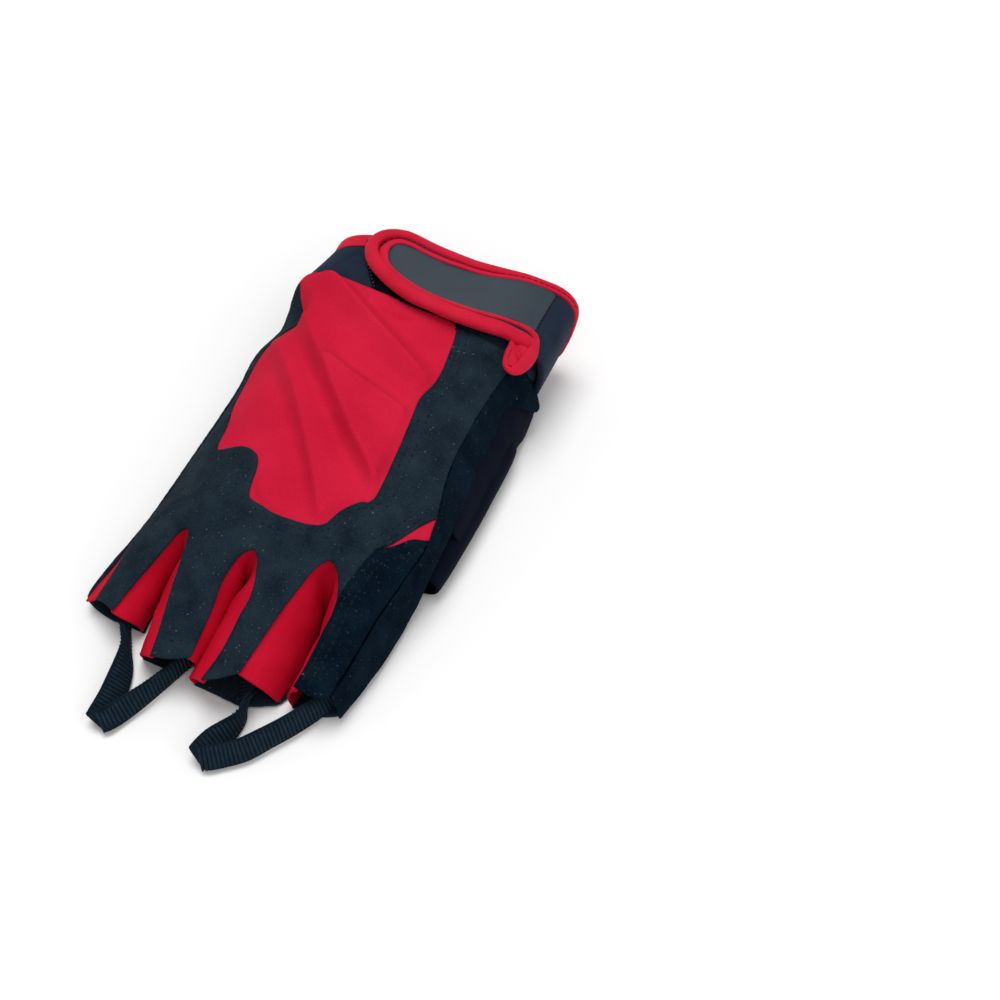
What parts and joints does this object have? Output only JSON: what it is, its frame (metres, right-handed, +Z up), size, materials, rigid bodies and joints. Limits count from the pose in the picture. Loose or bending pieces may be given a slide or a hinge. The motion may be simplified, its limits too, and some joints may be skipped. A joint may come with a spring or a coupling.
{
  "type": "fitness glove",
  "caption": "Half-finger fitness glove for the right hand, lying palm down, with red stretch back, suede palm, wrist strap and webbing pull loops.",
  "frame": {"origin": "middle of the glove's footprint, on the surface it lies on", "axes": "+Z up out of the back of the hand, fingers towards -Y, wrist towards +Y, thumb side towards +X"},
  "size_m": [0.1066, 0.1992, 0.0438],
  "materials": {
    "black_suede": "matt synthetic suede, blue-black",
    "red_stretch": "ribbed stretch knit, slight sheen",
    "navy_neoprene": "jersey-faced neoprene, matt",
    "red_binding": "knitted binding, matt",
    "grey_rubber": "smooth, satin",
    "black_loop": "fuzzy loop pile",
    "black_webbing": "ribbed narrow webbing, slight sheen"
  },
  "bodies": {
    "root": {"back_panel": "red_stretch", "knuckle_frame": "black_suede", "index_panel": "black_suede", "index_gusset": "red_stretch", "palm_panel": "black_suede", "side_wall": "black_suede", "gusset_pinky_ring": "red_stretch", "gusset_ring_middle": "red_stretch", "gusset_middle_index": "red_stretch", "pinky_gusset": "red_stretch", "thumb_stall": "navy_neoprene", "cuff": "navy_neoprene", "cuff_binding": "red_binding", "loop_patch": "black_loop", "strap_core": "navy_neoprene", "strap_binding": "red_binding", "strap_patch": "grey_rubber", "pull_loop_ring": "black_webbing", "pull_loop_middle": "black_webbing"}
  },
  "joints": []
}
